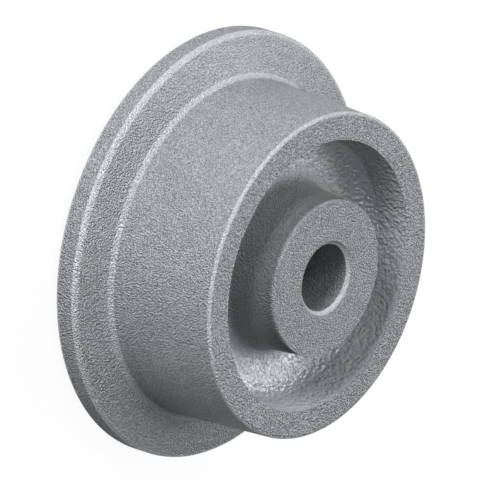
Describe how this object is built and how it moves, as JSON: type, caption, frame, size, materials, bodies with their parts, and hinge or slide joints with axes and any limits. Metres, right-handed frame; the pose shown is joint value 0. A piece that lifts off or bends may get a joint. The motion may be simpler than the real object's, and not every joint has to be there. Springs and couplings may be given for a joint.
{
  "type": "flanged track wheel",
  "caption": "Cast iron track wheel with a flange on one side, a dished web recessed on both faces, and a hub with a plain axle bore.",
  "frame": {"origin": "centre of the hub's back end face, on the wheel's axis, which is the lowest plane of the standing wheel", "axes": "+Z along the wheel's axis from the flange side to the rim-face side; X and Y are any two directions across it, since the wheel is the same all round"},
  "size_m": [0.127, 0.127, 0.05],
  "materials": {
    "cast_iron": "bare grey cast iron, shot-blasted, pebbled skin on the web and hub, finer on the faces and tread"
  },
  "bodies": {
    "root": {"flanged_wheel": "cast_iron"}
  },
  "joints": []
}
